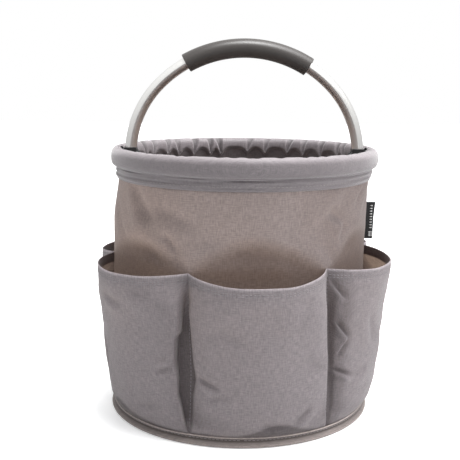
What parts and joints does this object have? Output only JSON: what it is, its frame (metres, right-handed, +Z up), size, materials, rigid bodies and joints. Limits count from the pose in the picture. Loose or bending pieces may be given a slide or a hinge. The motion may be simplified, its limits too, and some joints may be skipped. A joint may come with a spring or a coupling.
{
  "type": "fabric tool bucket",
  "caption": "Round soft-sided tool bucket with outer pockets, a ring-stiffened rim and an arched tube handle that swings down inside the rim.",
  "frame": {"origin": "centre of the ring of seam binding that the bucket stands on", "axes": "+Z up; the front is towards -Y; the handle's pivots lie on a line along X"},
  "size_m": [0.325, 0.3378, 0.4094],
  "materials": {
    "cloth": "coated plain-weave polyester, matt with a faint sheen",
    "casing_cloth": "coated plain-weave polyester, matt with a faint sheen",
    "binding_tape": "ribbed woven tape, matt",
    "thread": "polyester thread",
    "label_weave": "fine woven satin",
    "board": "matt sheet",
    "ring_metal": "mill finish",
    "tube_metal": "satin anodised",
    "grip_foam": "matt closed-cell foam rubber",
    "black_nylon": "moulded, semi-matt",
    "steel": "zinc plated"
  },
  "bodies": {
    "bag": {"wall_front": "cloth", "wall_rear": "cloth", "side_seam_tape_left": "binding_tape", "side_seam_tape_right": "binding_tape", "rim_casing": "casing_cloth", "pocket_1": "cloth", "pocket_2": "cloth", "pocket_3": "cloth", "pocket_4": "cloth", "pocket_5": "cloth", "pocket_6": "cloth", "pocket_stitching": "thread", "bar_tacks": "thread", "base_panel": "cloth", "base_board": "board", "base_lining": "cloth", "base_binding": "binding_tape", "side_label": "label_weave", "ring_front": "ring_metal", "ring_rear": "ring_metal", "ring_pins": "steel", "ring_connector_left": "black_nylon", "ring_connector_right": "black_nylon", "pivot_rivet_left": "steel", "pivot_rivet_right": "steel", "pivot_washers": "steel"},
    "handle": {"handle_tube": "tube_metal", "handle_grip": "grip_foam", "handle_socket_left": "black_nylon", "handle_socket_right": "black_nylon"}
  },
  "joints": [
    {"name": "handle_swing", "type": "hinge", "parent": "bag", "child": "handle", "pos_m": [0, 0, 0.282], "axis": [1, 0, 0], "range_deg": [-90, 90]}
  ]
}
